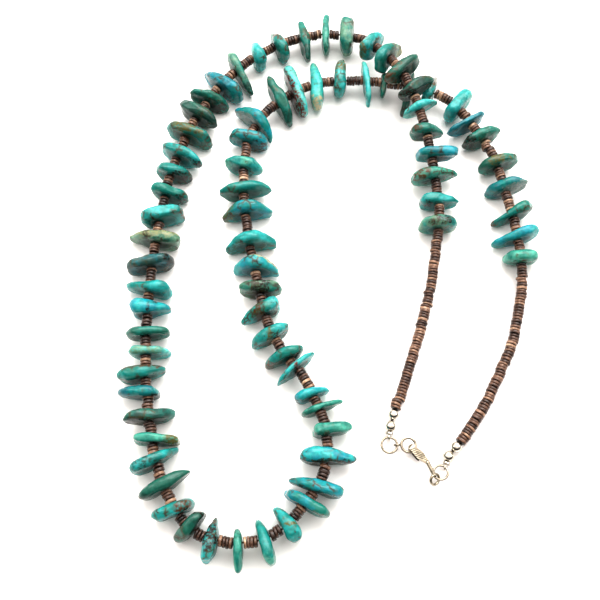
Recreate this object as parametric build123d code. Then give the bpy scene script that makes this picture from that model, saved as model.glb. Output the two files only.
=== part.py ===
from build123d import *
import math
import os
from collections import namedtuple

# Turquoise nugget necklace, lying in two loose loops. Millimetres, Z up.

# String: thread, discs and the clearances along it
THREAD_DIAMETER = 0.55
BORE_DIAMETER = 1.1
BEAD_GAP = 0.25
HEISHI_DIAMETER = 3.4
HEISHI_THICKNESS = 1.05
HEISHI_GROOVE = 0.18
RUN_STACK = 5
SILVER_BEAD_DIAMETER = 3.4

# Nuggets: the sizes that the table below takes its shares of
NUGGET_REACH = 10.0
NUGGET_THICKNESS = 4.0
NUGGET_RISE = 5.0
STRING_HEIGHT = 5.0
SEAT_MARGIN = 0.45
SEAT_DEPTH = 0.08
RIDGE_ROUNDING = 0.44

# Silver ends and clasp
CUP_DIAMETER = 2.3
CUP_MOUTH = 0.2
CUP_CAP = 0.3
THREAD_END_GAP = 0.1
SOLDER = 0.28
LOOP_WIRE = 0.55
LOOP_SLACK = 0.18
RING_WIRE = 0.7
LEFT_RING_RADIUS = 2.3
RIGHT_RING_RADIUS = 2.1
LEFT_RING_HEADING = -88.0
EYE_HEADING = 0.0
RIGHT_RING_HEADING = -133.0
RIGHT_RING_TILT = 15.0
EYE_RADIUS = 2.1
EYE_WIRE = 0.8
HOOK_STRIP = 0.6
HOOK_WIDTH = 2.4
HOOK_CLEARANCE = 0.35
HOOK_RETURN = 3.6
HOOK_TAIL = 1.2
HOOK_KNUCKLE = 1.3
HOOK_LOOP_RADIUS = 1.5
HOOK_LOOP_WIRE = 0.8
HOOK_LOOP_TILT = -40.0
HOOK_TIP_SHARE = 0.36
HOOK_WAIST_SHARE = 0.55
HOOK_GROOVES = 5
HOOK_GROOVE = 0.14
HOOK_GROOVE_RADIUS = 0.27
HOOK_GROOVE_TURN = 26.0
KNEE_SHARE = 0.65
KNEE_OUT = 1.2

# Heights of the string over the surface
LYING = max(HEISHI_DIAMETER, SILVER_BEAD_DIAMETER) / 2
RIDE = STRING_HEIGHT

# Route of the string, from the right end round both loops to the left end
ROUTE = [
    (42.5, -51.8, LYING), (43.2, -49.8, LYING), (45.3, -47.6, LYING), (49, -43.5, LYING),
    (55, -35, LYING), (60.5, -26, LYING), (65.5, -16, LYING), (69, -5, LYING), (71, 5.5, 3),
    (71, 16, RIDE), (70, 28, RIDE), (68.5, 38.5, RIDE), (66, 50.5, RIDE), (61, 62, RIDE),
    (54.5, 72.5, RIDE), (46.5, 78, RIDE), (37, 80.5, RIDE), (27, 82, RIDE), (16.5, 83, RIDE),
    (6, 81.5, RIDE), (-3, 77, RIDE), (-10.5, 71, RIDE), (-15.5, 64, RIDE), (-18.5, 54, RIDE),
    (-19, 43, RIDE), (-18.5, 31, RIDE), (-17, 20, RIDE), (-14.5, 9, RIDE), (-12, -2.5, RIDE),
    (-9, -12.5, RIDE), (-4, -20.5, RIDE), (1, -26.5, RIDE), (5, -34.5, RIDE), (8, -43, RIDE),
    (8.5, -51, RIDE), (5.5, -58.5, RIDE), (1, -64, RIDE), (-4, -70, RIDE), (-11, -73.5, RIDE),
    (-20, -74, RIDE), (-28, -71.5, RIDE), (-34, -66.5, RIDE), (-38, -59.5, RIDE), (-41, -52, RIDE),
    (-43.5, -43, RIDE), (-45.5, -33, RIDE), (-46.5, -22, RIDE), (-47.5, -10, RIDE), (-47.5, 2, RIDE),
    (-47, 14, RIDE), (-46, 27, RIDE), (-44.5, 40, RIDE), (-41.5, 51.5, RIDE), (-38, 63, RIDE),
    (-32.5, 74.5, RIDE), (-25.5, 84.5, RIDE), (-16, 94, RIDE), (-5, 100.5, RIDE), (7, 104, RIDE),
    (17.5, 103, 5.5), (25, 98, 7.5), (31, 90, 10), (35.5, 81, 12), (39, 72, 12), (41.5, 63, 10.5),
    (43.5, 54, 8.5), (45, 44, 6.5), (46, 33, RIDE), (45, 22, RIDE), (43, 11, 4), (41, 0.5, 2.2),
    (38, -9.5, LYING), (34.5, -20, LYING), (31, -29.5, LYING), (28.6, -35.5, LYING),
    (27.2, -39.5, LYING), (26.4, -43.1, LYING),
]
CORNER_SHARE = 0.45

# Forms of the nuggets: five sections from the left tip to the right tip, at these shares of the reach.
# thick and shift are shares of the thickness, high and rise of the height; shift runs along the string.
SECTION_REACH = (-1.0, -0.62, 0.0, 0.62, 1.0)
Form = namedtuple("Form", "thick high shift rise")
FORMS = {
    "lens": Form(
        thick=(0.36, 0.82, 1.00, 0.82, 0.36),
        high=(0.36, 0.80, 1.00, 0.82, 0.36),
        shift=(0.10, 0.00, 0.00, 0.00, -0.10),
        rise=(-0.05, 0.00, 0.00, 0.00, 0.05),
    ),
    "pebble": Form(
        thick=(0.52, 0.95, 1.00, 0.95, 0.48),
        high=(0.50, 0.88, 1.00, 0.92, 0.46),
        shift=(0.00, 0.00, 0.00, 0.00, 0.08),
        rise=(-0.12, -0.03, 0.00, 0.00, -0.08),
    ),
    "brick": Form(
        thick=(0.66, 1.00, 1.00, 0.92, 0.58),
        high=(0.62, 0.94, 1.00, 0.94, 0.58),
        shift=(0.05, 0.00, 0.00, 0.00, 0.00),
        rise=(0.06, 0.02, 0.00, -0.02, -0.10),
    ),
    "blade": Form(
        thick=(0.46, 0.86, 1.00, 0.88, 0.42),
        high=(0.30, 0.74, 1.00, 0.78, 0.34),
        shift=(0.20, 0.05, 0.00, 0.05, 0.20),
        rise=(0.02, 0.00, 0.00, 0.00, -0.05),
    ),
    "peak": Form(
        thick=(0.38, 0.76, 1.00, 0.76, 0.38),
        high=(0.40, 0.74, 1.00, 0.72, 0.42),
        shift=(0.34, 0.12, 0.00, 0.12, 0.34),
        rise=(-0.26, -0.10, 0.00, -0.12, -0.25),
    ),
    "wedge_left": Form(
        thick=(0.28, 0.60, 1.00, 1.08, 0.60),
        high=(0.32, 0.66, 0.96, 1.00, 0.58),
        shift=(0.22, 0.08, 0.00, 0.00, -0.05),
        rise=(-0.24, -0.12, 0.00, 0.00, 0.05),
    ),
    "club_left": Form(
        thick=(0.66, 1.12, 1.00, 0.62, 0.34),
        high=(0.60, 0.96, 0.98, 0.72, 0.40),
        shift=(0.00, 0.00, 0.00, 0.10, 0.15),
        rise=(0.02, 0.00, 0.00, -0.06, -0.12),
    ),
    "fin_left": Form(
        thick=(0.42, 0.80, 1.00, 0.96, 0.46),
        high=(0.46, 0.86, 1.00, 0.78, 0.38),
        shift=(-0.25, -0.05, 0.00, 0.10, 0.30),
        rise=(0.16, 0.06, 0.00, -0.10, -0.26),
    ),
}


def mirrored(form):
    return Form(*(column[::-1] for column in form))


for left_name in [name for name in FORMS if name.endswith("_left")]:
    FORMS[left_name.replace("_left", "_right")] = mirrored(FORMS[left_name])

# Nuggets in string order. at is a share of the string's length; left and right of NUGGET_REACH,
# seen along the route; thick of NUGGET_THICKNESS; above of NUGGET_RISE; below of STRING_HEIGHT.
# yaw is in degrees, positive where the right tip leans on along the route.
Nugget = namedtuple("Nugget", "at left right thick above below yaw form")
RIGHT_SIDE = [
    Nugget(0.0960, 0.53, 0.54, 0.86, 0.90, 0.84, 1, "pebble"),
    Nugget(0.1055, 0.82, 0.65, 0.70, 0.90, 0.96, 12, "wedge_left"),
    Nugget(0.1165, 0.66, 0.67, 0.68, 0.90, 1.00, 17, "wedge_left"),
    Nugget(0.1300, 0.60, 0.68, 0.85, 1.00, 1.00, 4, "fin_right"),
    Nugget(0.1425, 0.63, 0.78, 0.85, 0.90, 0.98, 3, "lens"),
    Nugget(0.1575, 0.67, 0.68, 0.82, 0.92, 1.00, -4, "lens"),
    Nugget(0.1670, 1.00, 0.64, 0.46, 0.80, 0.96, 0, "blade"),
    Nugget(0.1775, 0.54, 0.72, 1.02, 0.95, 1.00, 8, "brick"),
    Nugget(0.1920, 0.44, 0.82, 0.75, 0.76, 1.00, -2, "wedge_right"),
    Nugget(0.2020, 1.20, 0.80, 0.65, 0.40, 0.96, 0, "lens"),
    Nugget(0.2140, 0.53, 0.58, 0.50, 0.40, 1.00, 1, "blade"),
    Nugget(0.2225, 1.04, 0.88, 0.44, 0.80, 1.00, 11, "blade"),
    Nugget(0.2350, 0.62, 0.90, 1.08, 0.86, 1.00, -7, "lens"),
    Nugget(0.2465, 1.00, 0.98, 0.90, 0.84, 1.00, -15, "club_left"),
    Nugget(0.2570, 1.02, 1.07, 0.92, 1.00, 1.00, -11, "brick"),
    Nugget(0.2660, 0.89, 0.95, 0.90, 0.90, 0.98, -9, "fin_right"),
    Nugget(0.2815, 0.78, 0.99, 0.95, 1.00, 1.00, -14, "peak"),
    Nugget(0.2920, 0.62, 0.72, 0.92, 0.86, 0.96, 3, "pebble"),
]
FRONT = [
    Nugget(0.3060, 0.60, 0.68, 0.92, 0.84, 1.00, -7, "lens"),
    Nugget(0.3190, 0.95, 0.83, 0.72, 0.90, 1.00, 7, "lens"),
    Nugget(0.3290, 0.91, 0.75, 0.90, 1.04, 1.00, 2, "peak"),
    Nugget(0.3445, 0.95, 0.77, 0.84, 1.10, 0.98, -4, "peak"),
    Nugget(0.3560, 0.83, 0.64, 1.05, 1.10, 1.00, -15, "peak"),
    Nugget(0.3670, 0.70, 0.66, 0.80, 1.00, 1.00, -11, "lens"),
    Nugget(0.3765, 0.49, 0.79, 0.95, 0.94, 0.98, 5, "wedge_right"),
    Nugget(0.3880, 0.51, 0.76, 0.75, 1.00, 1.00, -6, "fin_left"),
    Nugget(0.3985, 0.54, 0.69, 0.68, 1.00, 1.00, -20, "fin_left"),
    Nugget(0.4045, 0.70, 0.79, 0.44, 0.86, 1.00, 2, "blade"),
    Nugget(0.4170, 0.56, 0.52, 0.58, 0.80, 0.96, -5, "wedge_left"),
    Nugget(0.4235, 0.71, 0.58, 0.40, 0.70, 1.00, -1, "blade"),
    Nugget(0.4325, 0.76, 0.39, 0.80, 0.80, 1.00, -4, "pebble"),
    Nugget(0.4425, 0.81, 0.85, 1.05, 0.84, 1.00, 5, "club_right"),
    Nugget(0.4545, 0.71, 0.84, 0.78, 0.94, 1.00, 16, "club_left"),
    Nugget(0.4620, 0.74, 0.66, 0.66, 0.90, 0.98, 13, "brick"),
    Nugget(0.4720, 0.50, 0.57, 0.92, 0.84, 1.00, -9, "club_left"),
    Nugget(0.4820, 0.72, 0.62, 0.70, 0.90, 1.00, 0, "wedge_right"),
    Nugget(0.4915, 0.78, 0.38, 0.56, 0.80, 1.00, 2, "blade"),
    Nugget(0.5015, 0.68, 0.58, 0.82, 0.86, 0.98, 4, "wedge_right"),
    Nugget(0.5105, 0.55, 0.50, 0.80, 0.94, 1.00, -1, "fin_right"),
    Nugget(0.5190, 0.68, 0.53, 0.80, 0.90, 1.00, -13, "pebble"),
    Nugget(0.5290, 0.78, 0.84, 0.74, 0.90, 1.00, 5, "lens"),
    Nugget(0.5390, 0.77, 0.67, 0.66, 0.96, 1.00, 8, "wedge_right"),
    Nugget(0.5470, 0.53, 0.84, 0.62, 0.80, 0.98, -18, "brick"),
    Nugget(0.5560, 0.69, 0.71, 0.82, 0.94, 1.00, -7, "fin_left"),
    Nugget(0.5655, 0.85, 0.43, 0.66, 0.74, 1.00, -8, "lens"),
    Nugget(0.5735, 0.84, 0.65, 0.80, 0.92, 1.00, 3, "club_left"),
    Nugget(0.5825, 0.49, 0.70, 0.56, 0.70, 0.98, -3, "brick"),
    Nugget(0.5905, 0.65, 0.70, 0.62, 0.80, 1.00, 0, "lens"),
    Nugget(0.6010, 0.52, 0.74, 1.05, 1.00, 1.00, -5, "club_left"),
    Nugget(0.6100, 0.81, 0.69, 0.78, 0.94, 1.00, -5, "wedge_left"),
    Nugget(0.6215, 0.81, 0.66, 0.82, 1.00, 0.98, 12, "pebble"),
    Nugget(0.6330, 0.97, 0.79, 0.82, 0.96, 1.00, -4, "wedge_left"),
    Nugget(0.6440, 0.61, 0.78, 0.98, 1.06, 1.00, 17, "brick"),
    Nugget(0.6560, 0.40, 0.72, 0.78, 0.94, 1.00, -6, "fin_left"),
    Nugget(0.6665, 0.52, 0.67, 0.76, 0.96, 0.98, 2, "fin_left"),
    Nugget(0.6765, 0.69, 0.88, 0.72, 0.98, 1.00, -8, "lens"),
    Nugget(0.6880, 0.75, 0.90, 0.84, 1.00, 1.00, -3, "pebble"),
    Nugget(0.6995, 0.78, 0.79, 0.88, 1.04, 1.00, -5, "lens"),
]
LEFT_SIDE = [
    Nugget(0.7090, 0.62, 0.74, 0.70, 1.00, 0.98, 13, "fin_left"),
    Nugget(0.7195, 0.89, 0.94, 0.90, 1.00, 1.00, -2, "wedge_left"),
    Nugget(0.7310, 0.61, 1.08, 0.72, 0.90, 1.00, -20, "wedge_right"),
    Nugget(0.7435, 0.64, 0.52, 0.95, 0.88, 1.00, -17, "club_right"),
    Nugget(0.7555, 0.75, 0.66, 0.84, 0.84, 1.00, 1, "wedge_left"),
    Nugget(0.7685, 0.71, 1.10, 0.74, 0.84, 1.00, -5, "lens"),
    Nugget(0.7795, 1.00, 0.90, 0.62, 0.80, 0.98, -1, "blade"),
    Nugget(0.7900, 0.68, 0.69, 1.20, 0.86, 0.96, 14, "brick"),
    Nugget(0.8045, 0.66, 0.61, 0.98, 0.90, 0.84, 13, "wedge_left"),
    Nugget(0.8165, 0.83, 0.67, 0.85, 0.96, 0.90, 20, "wedge_left"),
    Nugget(0.8290, 0.88, 0.72, 0.95, 0.92, 0.72, 17, "lens"),
    Nugget(0.8410, 0.84, 0.55, 0.95, 0.92, 0.78, 13, "lens"),
    Nugget(0.8500, 0.70, 0.65, 0.46, 0.76, 0.90, 8, "blade"),
    Nugget(0.8615, 0.63, 0.55, 0.84, 0.90, 0.96, -6, "wedge_left"),
    Nugget(0.8725, 0.90, 0.52, 0.74, 0.84, 0.98, -8, "brick"),
    Nugget(0.8825, 0.83, 0.80, 0.82, 0.90, 1.00, 4, "wedge_left"),
    Nugget(0.8950, 0.70, 0.60, 0.72, 0.84, 1.00, 3, "club_right"),
    Nugget(0.9065, 0.62, 0.63, 0.92, 0.94, 0.98, 8, "pebble"),
]
NUGGETS = RIGHT_SIDE + FRONT + LEFT_SIDE

UP = Vector(0, 0, 1)


# String
def string_path():
    points = [Vector(*point) for point in ROUTE]
    radii = []
    for before, corner, after in zip(points, points[1:], points[2:]):
        run_in = corner - before
        run_out = after - corner
        turn = math.radians(run_in.get_angle(run_out))
        radii.append(CORNER_SHARE * min(run_in.length, run_out.length) / math.tan(turn / 2))
    print("least radius of the string", round(min(radii), 1))
    return FilletPolyline(*points, radius=radii)


STRING = string_path()
LENGTH = STRING.length


def tangent(station):
    return STRING.tangent_at(station, PositionMode.LENGTH)


def frame_at(station):
    """Plane on the string: X to the right of the route, Y along it, Z up. Past the ends it runs on."""
    inside = min(max(station, 0.0), LENGTH)
    point = STRING.position_at(inside, PositionMode.LENGTH)
    along = tangent(inside)
    right = along.cross(UP).normalized()
    return Plane(origin=point + along * (station - inside), x_dir=right, z_dir=right.cross(along))


def along_string(solid):
    """Turns a solid of revolution made about Z so that its axis runs along the string's Y."""
    return solid.rotate(Axis.X, -90)


def thread():
    section = Plane(origin=STRING @ 0, z_dir=STRING % 0) * Circle(THREAD_DIAMETER / 2)
    return sweep(section, path=STRING)


def heishi_stack(start, end):
    """Discs that touch from start to end along the string, each with an eased edge, as one solid."""
    length = end - start
    count = max(1, round(length / HEISHI_THICKNESS))
    disc = length / count
    rim = HEISHI_DIAMETER / 2
    groove = min(HEISHI_GROOVE, disc / 3)
    outline = [(BORE_DIAMETER / 2, 0)]
    for index in range(count):
        low = index * disc
        outline += [(rim - groove, low), (rim, low + groove), (rim, low + disc - groove)]
    outline += [(rim - groove, length), (BORE_DIAMETER / 2, length)]
    profile = make_face(Polyline(*outline, close=True))
    stack = revolve(Pos(0, -length / 2) * profile, Axis.Y)
    return frame_at((start + end) / 2).location * stack


def heishi_run(start, end):
    """Stacks of a few discs each, so that a long run follows the string's curve."""
    stacks = max(1, round((end - start) / (RUN_STACK * HEISHI_THICKNESS + BEAD_GAP)))
    pitch = (end - start + BEAD_GAP) / stacks
    starts = [start + index * pitch for index in range(stacks)]
    return [heishi_stack(low, low + pitch - BEAD_GAP) for low in starts]


def station_of(row):
    return row.at * LENGTH


def half_thickness(row):
    return row.thick * NUGGET_THICKNESS / 2


def stand_off(station, middle):
    """Gap between a nugget and a stack, wider on a bend, where the stack's rim leans to the nugget."""
    turn = tangent(station).get_angle(tangent(middle))
    return BEAD_GAP + HEISHI_DIAMETER / 2 * math.sin(math.radians(turn))


def spacers(rows):
    """The stacks between neighbouring nuggets."""
    stacks = []
    for row, following in zip(rows, rows[1:]):
        face = station_of(row) + half_thickness(row)
        next_face = station_of(following) - half_thickness(following)
        middle = (face + next_face) / 2
        start = face + stand_off(station_of(row), middle)
        end = next_face - stand_off(station_of(following), middle)
        if end - start > HEISHI_THICKNESS / 2:
            stacks.append(heishi_stack(start, end))
    return stacks


# Nuggets
def nugget_blank(row):
    form = FORMS[row.form]
    thickness = 2 * half_thickness(row)
    above = row.above * NUGGET_RISE
    below = row.below * STRING_HEIGHT
    height = above + below
    middle = (above - below) / 2
    sections = []
    for reach, thick, high, shift, rise in zip(SECTION_REACH, *form):
        side = row.right if reach > 0 else row.left
        origin = (reach * side * NUGGET_REACH, shift * thickness, middle + rise * height)
        outline = RectangleRounded(high * height, thick * thickness, RIDGE_ROUNDING * thick * thickness)
        sections.append(Plane(origin=origin, x_dir=(0, 0, 1), z_dir=(1, 0, 0)) * outline)
    return loft(sections).rotate(Axis.Z, row.yaw)


def nugget(row):
    seat_at = half_thickness(row) - SEAT_DEPTH
    bore = along_string(Cylinder(BORE_DIAMETER / 2, 2 * NUGGET_REACH))
    on_its_face = (Align.CENTER, Align.CENTER, Align.MIN)
    seat = Cylinder(HEISHI_DIAMETER / 2 + SEAT_MARGIN, NUGGET_REACH, align=on_its_face)
    ahead = along_string(Pos(0, 0, seat_at) * seat)
    stone = nugget_blank(row) - bore - ahead - ahead.rotate(Axis.Z, 180)
    return frame_at(station_of(row)).location * stone


# Silver beads and end cups
BEADS_START = CUP_MOUTH + BEAD_GAP
RUN_START = BEADS_START + 2 * (SILVER_BEAD_DIAMETER + BEAD_GAP)
CUP_FACE = THREAD_END_GAP + CUP_CAP
CUP_LOOP_RADIUS = RING_WIRE / 2 + LOOP_SLACK + LOOP_WIRE / 2
CUP_LOOP_CENTRE = CUP_FACE + CUP_LOOP_RADIUS + LOOP_WIRE / 2 - SOLDER


def silver_bead(station):
    bead = Sphere(SILVER_BEAD_DIAMETER / 2) - Cylinder(BORE_DIAMETER / 2, 2 * SILVER_BEAD_DIAMETER)
    return frame_at(station).location * along_string(bead)


def silver_beads(station_from_end):
    pitch = SILVER_BEAD_DIAMETER + BEAD_GAP
    first = BEADS_START + SILVER_BEAD_DIAMETER / 2
    return [silver_bead(station_from_end(first + index * pitch)) for index in range(2)]


def from_right_end(distance):
    return distance


def from_left_end(distance):
    return LENGTH - distance


def cup_loop_centre(station_from_end):
    return frame_at(station_from_end(-CUP_LOOP_CENTRE)).origin


def wire_ring(centre, axis, radius, wire):
    return Plane(origin=centre, z_dir=axis).location * Torus(radius, wire / 2)


def end_cup(station_from_end, loop_axis):
    inner = frame_at(station_from_end(-THREAD_END_GAP)).origin
    outward = (cup_loop_centre(station_from_end) - inner).normalized()
    base = Plane(origin=inner, z_dir=outward).location
    mouth = CUP_MOUTH + THREAD_END_GAP
    cup = Pos(0, 0, (CUP_CAP - mouth) / 2) * Cylinder(CUP_DIAMETER / 2, CUP_CAP + mouth)
    cup = fillet(cup.edges().group_by(Axis.Z)[-1], CUP_CAP / 2)
    cup -= Pos(0, 0, -mouth / 2) * Cylinder(BORE_DIAMETER / 2, mouth)
    loop = wire_ring(cup_loop_centre(station_from_end), loop_axis, CUP_LOOP_RADIUS, LOOP_WIRE)
    return (base * cup).fuse(loop)


# Clasp, placed from the two ends of the string towards its middle
def heading(degrees):
    angle = math.radians(degrees)
    return Vector(math.cos(angle), math.sin(angle), 0)


LEFT_LOOP = cup_loop_centre(from_left_end)
RIGHT_LOOP = cup_loop_centre(from_right_end)
LEFT_RING_CENTRE = LEFT_LOOP + heading(LEFT_RING_HEADING) * LEFT_RING_RADIUS
EYE_LOOP_CENTRE = LEFT_RING_CENTRE + heading(EYE_HEADING) * LEFT_RING_RADIUS
EYE_LOOP_REACH = CUP_LOOP_RADIUS + LOOP_WIRE / 2
EYE_REACH = EYE_LOOP_REACH + EYE_RADIUS + EYE_WIRE / 2 - SOLDER
EYE_CENTRE = EYE_LOOP_CENTRE + heading(EYE_HEADING) * EYE_REACH
RIGHT_RING_CENTRE = RIGHT_LOOP + heading(RIGHT_RING_HEADING) * RIGHT_RING_RADIUS
HOOK_LOOP_PLAY = HOOK_LOOP_RADIUS - HOOK_LOOP_WIRE / 2 - RING_WIRE / 2 - LOOP_SLACK
HOOK_LOOP_CENTRE = RIGHT_RING_CENTRE + heading(RIGHT_RING_HEADING) * (RIGHT_RING_RADIUS + HOOK_LOOP_PLAY)


def left_jump_ring():
    return wire_ring(LEFT_RING_CENTRE, UP, LEFT_RING_RADIUS, RING_WIRE)


def tilted(degrees):
    """Up, tilted about the line through the right ring and the hook's loop."""
    return UP.rotate(Axis((0, 0, 0), heading(RIGHT_RING_HEADING)), degrees)


def right_ring_axis():
    return tilted(RIGHT_RING_TILT)


def right_jump_ring():
    return wire_ring(RIGHT_RING_CENTRE, right_ring_axis(), RIGHT_RING_RADIUS, RING_WIRE)


def right_loop_axis():
    """The ring's own direction where it passes through the right cup's loop, square to the string."""
    passing = right_ring_axis().cross(heading(RIGHT_RING_HEADING))
    along = tangent(0)
    return (passing - along * passing.dot(along)).normalized()


def clasp_eye():
    eye = wire_ring(EYE_CENTRE, UP, EYE_RADIUS, EYE_WIRE)
    return eye.fuse(wire_ring(EYE_LOOP_CENTRE, heading(EYE_HEADING + 90), CUP_LOOP_RADIUS, LOOP_WIRE))


# Hook: a strip bent round the eye's wire, then a round bar from the strip's knee to the tail loop
HOOK_CHORD = HOOK_LOOP_CENTRE - EYE_CENTRE
KNEE = EYE_CENTRE + HOOK_CHORD * KNEE_SHARE + UP.cross(HOOK_CHORD.normalized()) * KNEE_OUT
KNEE_AT = (KNEE - EYE_CENTRE).length
HOOK_ALONG = (KNEE - EYE_CENTRE).normalized()
BEND_INNER = EYE_WIRE / 2 + HOOK_CLEARANCE
BEND_OUTER = BEND_INNER + HOOK_STRIP
BEND_AT = EYE_RADIUS - EYE_WIRE / 2 - HOOK_CLEARANCE / 2
ARM_HEIGHT = BEND_INNER + HOOK_STRIP / 2


def hook_side():
    """Side view of the strip: half a ring with a long upper arm and a short lower one."""
    bend = Pos(BEND_AT, 0) * (Circle(BEND_OUTER) - Circle(BEND_INNER))
    bend -= Pos(BEND_AT + BEND_OUTER, 0) * Rectangle(2 * BEND_OUTER, 3 * BEND_OUTER)
    from_bend = (Align.MIN, Align.CENTER)
    upper = Pos(BEND_AT, ARM_HEIGHT) * Rectangle(KNEE_AT - BEND_AT, HOOK_STRIP, align=from_bend)
    lower = Pos(BEND_AT, -ARM_HEIGHT) * Rectangle(HOOK_RETURN, HOOK_STRIP, align=from_bend)
    return bend + upper + lower


def hook_leaf():
    """Top view of the strip: round at the bend, widest at the waist and thin at the knee."""
    tip_radius = HOOK_TIP_SHARE * HOOK_WIDTH
    tip = Pos(BEND_AT - BEND_OUTER + tip_radius, 0) * Circle(tip_radius)
    waist = Pos(HOOK_WAIST_SHARE * KNEE_AT, 0) * Circle(HOOK_WIDTH / 2)
    tail = Pos(KNEE_AT - HOOK_TAIL / 2, 0) * Circle(HOOK_TAIL / 2)
    return make_hull((tip + waist).edges()) + make_hull((waist + tail).edges())


def hook_grooves():
    """Slanting rods that cut the shallow grooves across the strip's upper face."""
    pitch = (KNEE_AT - BEND_AT) / (HOOK_GROOVES + 1)
    rod = Rot(0, 0, HOOK_GROOVE_TURN) * Rot(0, 90, 0) * Cylinder(HOOK_GROOVE_RADIUS, 3 * HOOK_WIDTH)
    height = ARM_HEIGHT + HOOK_STRIP / 2 + HOOK_GROOVE_RADIUS - HOOK_GROOVE
    surface = Plane(origin=EYE_CENTRE + UP * height, x_dir=HOOK_ALONG, z_dir=UP).location
    return [surface * Pos(BEND_AT + (index + 0.5) * pitch, 0) * rod for index in range(HOOK_GROOVES)]


def hook_tail():
    """The round bar from the knee down to the edge of the tail loop."""
    knee_end = EYE_CENTRE + HOOK_ALONG * (KNEE_AT - HOOK_KNUCKLE / 2) + UP * ARM_HEIGHT
    across = tilted(HOOK_LOOP_TILT)
    towards = knee_end - HOOK_LOOP_CENTRE
    in_loop = towards - across * towards.dot(across)
    loop_edge = HOOK_LOOP_CENTRE + in_loop.normalized() * HOOK_LOOP_RADIUS
    run = loop_edge - knee_end
    bar_at = Plane(origin=(knee_end + loop_edge) / 2, z_dir=run).location
    bar = bar_at * Cylinder(HOOK_TAIL / 2, run.length)
    return bar + Pos(*knee_end) * Sphere(HOOK_KNUCKLE / 2)


def clasp_hook():
    """The hook as one solid: strip, tail bar and soldered loop."""
    side_view = Plane(origin=EYE_CENTRE, x_dir=HOOK_ALONG, z_dir=HOOK_ALONG.cross(UP))
    top_view = Plane(origin=EYE_CENTRE + UP * 2 * BEND_OUTER, x_dir=HOOK_ALONG, z_dir=UP)
    strip = extrude(side_view * hook_side(), HOOK_WIDTH / 2, both=True)
    hook = strip & extrude(top_view * hook_leaf(), -4 * BEND_OUTER)
    for groove in hook_grooves():
        hook -= groove
    hook += hook_tail()
    return hook.fuse(wire_ring(HOOK_LOOP_CENTRE, tilted(HOOK_LOOP_TILT), HOOK_LOOP_RADIUS, HOOK_LOOP_WIRE))


# Pieces by node
def build_pieces():
    first = station_of(NUGGETS[0]) - half_thickness(NUGGETS[0]) - BEAD_GAP
    last = station_of(NUGGETS[-1]) + half_thickness(NUGGETS[-1]) + BEAD_GAP
    across_left = heading(LEFT_RING_HEADING + 90)
    pieces = {
        "thread": [thread()],
        "nuggets_right_side": [nugget(row) for row in RIGHT_SIDE],
        "nuggets_left_side": [nugget(row) for row in LEFT_SIDE],
        "heishi_right_run": heishi_run(RUN_START, first),
        "heishi_left_run": heishi_run(last, LENGTH - RUN_START),
        "heishi_right_spacers": spacers(RIGHT_SIDE + FRONT[:1]),
        "heishi_front_spacers": spacers(FRONT),
        "heishi_left_spacers": spacers(FRONT[-1:] + LEFT_SIDE),
        "silver_beads_right": silver_beads(from_right_end),
        "silver_beads_left": silver_beads(from_left_end),
        "end_cup_right": [end_cup(from_right_end, right_loop_axis())],
        "end_cup_left": [end_cup(from_left_end, across_left)],
        "jump_ring_right": [right_jump_ring()],
        "jump_ring_left": [left_jump_ring()],
        "clasp_eye": [clasp_eye()],
        "clasp_hook": [clasp_hook()],
    }
    for number, row in enumerate(FRONT, start=1):
        pieces[f"nugget_{number:02d}"] = [nugget(row)]
    return pieces


def stand_on_origin(pieces):
    """Moves every piece together so that the bottom centre of the whole is the origin."""
    box = Compound([solid for solids in pieces.values() for solid in solids]).bounding_box()
    shift = Pos(-box.center().X, -box.center().Y, -box.min.Z)
    print("moved by", [round(value, 3) for value in shift.position])
    return {node: [shift * solid for solid in solids] for node, solids in pieces.items()}


def main():
    os.makedirs("parts", exist_ok=True)
    print("string", round(LENGTH, 1), "mm")
    pieces = stand_on_origin(build_pieces())
    for node, solids in pieces.items():
        whole = solids[0] if len(solids) == 1 else Compound(solids)
        export_step(whole, f"parts/{node}.step")


main()
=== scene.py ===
import math
import random
from collections import namedtuple
import bmesh
import bpy
import numpy as np
from mathutils import Matrix, Vector, kdtree, noise


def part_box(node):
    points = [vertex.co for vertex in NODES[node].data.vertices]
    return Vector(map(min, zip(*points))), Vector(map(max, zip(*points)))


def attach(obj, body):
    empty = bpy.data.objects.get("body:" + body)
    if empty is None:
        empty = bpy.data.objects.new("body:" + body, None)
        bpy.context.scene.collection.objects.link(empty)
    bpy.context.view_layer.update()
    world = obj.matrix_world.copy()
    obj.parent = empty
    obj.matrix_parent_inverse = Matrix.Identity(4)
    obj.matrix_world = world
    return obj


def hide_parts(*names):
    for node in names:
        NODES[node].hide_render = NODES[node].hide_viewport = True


# Looks of the turquoise nugget necklace, in metres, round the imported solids.

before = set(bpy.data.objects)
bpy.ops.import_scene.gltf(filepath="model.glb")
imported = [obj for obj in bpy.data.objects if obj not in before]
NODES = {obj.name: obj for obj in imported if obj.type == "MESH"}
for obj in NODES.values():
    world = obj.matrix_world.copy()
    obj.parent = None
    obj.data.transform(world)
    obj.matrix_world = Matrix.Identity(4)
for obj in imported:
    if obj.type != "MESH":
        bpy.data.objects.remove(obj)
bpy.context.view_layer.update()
MM = 0.001
SEED = 11

# Camera, at the height and distance that the photo's perspective gives
AIM = Vector((-10.5, -16.0, 0.2)) * MM
CAMERA_DISTANCE = 224.3 * MM
CAMERA_ELEVATION = math.radians(68)
CAMERA_NEAREST = 10.0 * MM
LENS = 42.0
SENSOR = 36.0

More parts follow.
